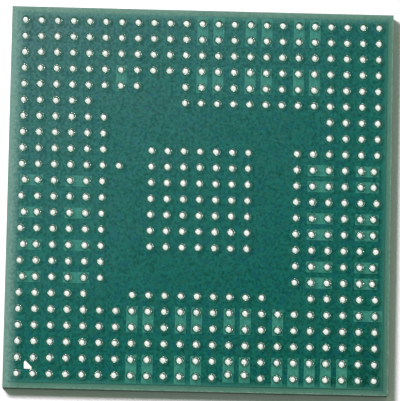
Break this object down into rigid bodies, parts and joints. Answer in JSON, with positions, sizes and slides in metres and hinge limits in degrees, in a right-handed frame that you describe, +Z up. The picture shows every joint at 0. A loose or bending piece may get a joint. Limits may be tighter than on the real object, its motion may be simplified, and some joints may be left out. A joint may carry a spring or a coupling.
{
  "type": "ball grid array chip",
  "caption": "Thin square moulded chip package with a green board on one side and a grid of solder balls on it, shown balls up.",
  "frame": {"origin": "middle of the mould cap's outer face, on which the chip rests", "axes": "+Z up through the board to the balls, +X from column 1 to column 23, +Y from row A to row AC"},
  "size_m": [0.019, 0.019, 0.0014],
  "materials": {
    "mould_compound": "matt moulded epoxy",
    "silicon": "polished silicon",
    "die_film": "filled adhesive film",
    "gold_wire": "drawn gold wire",
    "copper": "etched copper",
    "solder_mask": "semi-gloss green solder mask",
    "laminate": "sawn glass fibre laminate",
    "plated_mark": "plated copper",
    "solder": "bright reflowed tin solder"
  },
  "bodies": {
    "root": {"mould_cap": "mould_compound", "silicon_die": "silicon", "die_attach_film": "die_film", "bond_wires_front": "gold_wire", "bond_wires_right": "gold_wire", "bond_wires_back": "gold_wire", "bond_wires_left": "gold_wire", "die_side_copper": "copper", "die_side_solder_mask": "solder_mask", "laminate_core": "laminate", "plated_vias": "copper", "ball_side_copper": "copper", "ball_side_solder_mask": "solder_mask", "pin_one_mark": "plated_mark", "ball_row_a": "solder", "ball_row_b": "solder", "ball_row_c": "solder", "ball_row_d": "solder", "ball_row_e": "solder", "ball_row_f": "solder", "ball_row_g": "solder", "ball_row_h": "solder", "ball_row_j": "solder", "ball_row_k": "solder", "ball_row_l": "solder", "ball_row_m": "solder", "ball_row_n": "solder", "ball_row_p": "solder", "ball_row_r": "solder", "ball_row_t": "solder", "ball_row_u": "solder", "ball_row_v": "solder", "ball_row_w": "solder", "ball_row_y": "solder", "ball_row_aa": "solder", "ball_row_ab": "solder", "ball_row_ac": "solder"}
  },
  "joints": []
}
